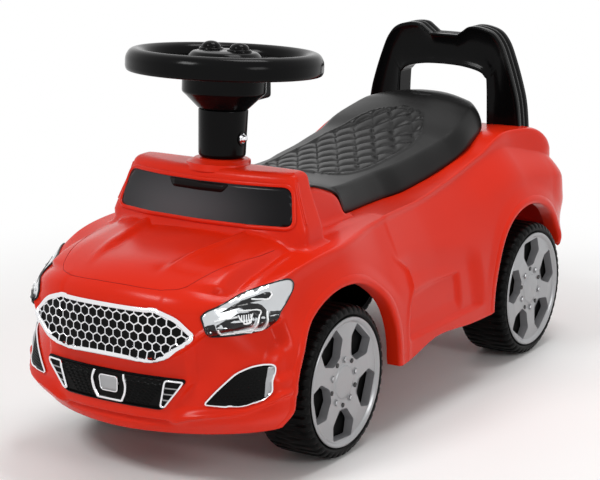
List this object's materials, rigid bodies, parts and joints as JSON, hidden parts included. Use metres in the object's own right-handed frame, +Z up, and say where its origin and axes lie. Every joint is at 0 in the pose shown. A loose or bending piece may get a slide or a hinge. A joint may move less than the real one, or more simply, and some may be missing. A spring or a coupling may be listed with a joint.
{
  "type": "ride-on car",
  "caption": "Foot-powered ride-on car with a moulded body, lidded storage seat, arched backrest, steered front wheels, steering wheel with push buttons and spoked hubcaps.",
  "frame": {"origin": "centre of the bounding box, on the ground under the middle of the car", "axes": "+Z up, the car faces -Y and rolls forwards along -Y, +X is the driver's left side"},
  "size_m": [0.2764, 0.6803, 0.358],
  "materials": {
    "red_gloss_plastic": "moulded glossy red",
    "black_plastic": "glossy black",
    "seat_black_plastic": "satin black",
    "grey_plastic": "plain grey",
    "silver_plastic": "silver grey satin",
    "lamp_plastic": "bright lamp insert",
    "chrome": "polished",
    "steel": "plain steel"
  },
  "bodies": {
    "chassis": {"body_shell": "red_gloss_plastic", "upper_grille": "black_plastic", "lower_grille": "black_plastic", "side_vent_left": "black_plastic", "side_vent_right": "black_plastic", "headlamp_left": "lamp_plastic", "headlamp_right": "lamp_plastic", "windscreen_panel": "black_plastic", "storage_tub": "black_plastic", "backrest": "black_plastic", "column_bush": "grey_plastic", "front_beam": "black_plastic", "beam_screw_front_left": "steel", "beam_screw_front_right": "steel", "beam_screw_rear_left": "steel", "beam_screw_rear_right": "steel", "king_pin_left": "steel", "king_pin_right": "steel", "seat_hinge_pin_left": "steel", "seat_hinge_pin_right": "steel", "axle_bush_left": "grey_plastic", "axle_bush_right": "grey_plastic", "rear_axle": "steel", "lock_cap_rear_left": "steel", "lock_cap_rear_right": "steel"},
    "steering": {"steering_wheel": "black_plastic", "hub_cover": "black_plastic", "battery_box": "black_plastic", "column_sleeve": "black_plastic", "steering_rod": "steel", "column_bolt": "steel", "cap_nut": "chrome"},
    "horn_button": {"horn_button": "black_plastic"},
    "tune_button": {"tune_button": "black_plastic"},
    "tie_rod": {"tie_rod": "black_plastic"},
    "seat": {"seat_lid": "seat_black_plastic"},
    "knuckle_left": {"knuckle_left": "black_plastic", "stub_axle_left": "steel", "lock_cap_front_left": "steel"},
    "wheel_front_left": {"wheel_front_left": "black_plastic", "hubcap_front_left": "silver_plastic"},
    "wheel_rear_left": {"wheel_rear_left": "black_plastic", "hubcap_rear_left": "silver_plastic"},
    "knuckle_right": {"knuckle_right": "black_plastic", "stub_axle_right": "steel", "lock_cap_front_right": "steel"},
    "wheel_front_right": {"wheel_front_right": "black_plastic", "hubcap_front_right": "silver_plastic"},
    "wheel_rear_right": {"wheel_rear_right": "black_plastic", "hubcap_rear_right": "silver_plastic"}
  },
  "joints": [
    {"name": "steering_turn", "type": "hinge", "parent": "chassis", "child": "steering", "pos_m": [0, -0.163, 0.256], "axis": [0, 0.0698, 0.9976], "range_deg": [-30, 30]},
    {"name": "tie_rod_slide", "type": "slide", "parent": "chassis", "child": "tie_rod", "axis": [1, 0, 0], "range_m": [-0.0095, 0.0095]},
    {"name": "seat_lid_hinge", "type": "hinge", "parent": "chassis", "child": "seat", "pos_m": [0, -0.149, 0.238], "axis": [1, 0, 0], "range_deg": [0, 42]},
    {"name": "horn_button_press", "type": "slide", "parent": "steering", "child": "horn_button", "axis": [0, -0.0698, -0.9976], "range_m": [0, 0.0015], "stiffness_N_per_m": 300, "springref_m": -0.001},
    {"name": "tune_button_press", "type": "slide", "parent": "steering", "child": "tune_button", "axis": [0, -0.0698, -0.9976], "range_m": [0, 0.0015], "stiffness_N_per_m": 300, "springref_m": -0.001},
    {"name": "knuckle_turn_left", "type": "hinge", "parent": "chassis", "child": "knuckle_left", "pos_m": [0.064, -0.1669, 0.06862], "axis": [0, 0, 1], "range_deg": [-18, 18]},
    {"name": "wheel_spin_front_left", "type": "hinge", "parent": "knuckle_left", "child": "wheel_front_left", "pos_m": [0.0795, -0.1669, 0.06862], "axis": [1, 0, 0], "continuous": true},
    {"name": "wheel_spin_rear_left", "type": "hinge", "parent": "chassis", "child": "wheel_rear_left", "pos_m": [0.0795, 0.2081, 0.06862], "axis": [1, 0, 0], "continuous": true},
    {"name": "knuckle_turn_right", "type": "hinge", "parent": "chassis", "child": "knuckle_right", "pos_m": [-0.064, -0.1669, 0.06862], "axis": [0, 0, 1], "range_deg": [-18, 18]},
    {"name": "wheel_spin_front_right", "type": "hinge", "parent": "knuckle_right", "child": "wheel_front_right", "pos_m": [-0.0795, -0.1669, 0.06862], "axis": [1, 0, 0], "continuous": true},
    {"name": "wheel_spin_rear_right", "type": "hinge", "parent": "chassis", "child": "wheel_rear_right", "pos_m": [-0.0795, 0.2081, 0.06862], "axis": [1, 0, 0], "continuous": true}
  ],
  "couplings": [
    {"joint": "tie_rod_slide", "follows": "steering_turn", "m_per_rad": 0.018},
    {"joint": "knuckle_turn_left", "follows": "steering_turn", "ratio": 0.6},
    {"joint": "knuckle_turn_right", "follows": "steering_turn", "ratio": 0.6}
  ]
}
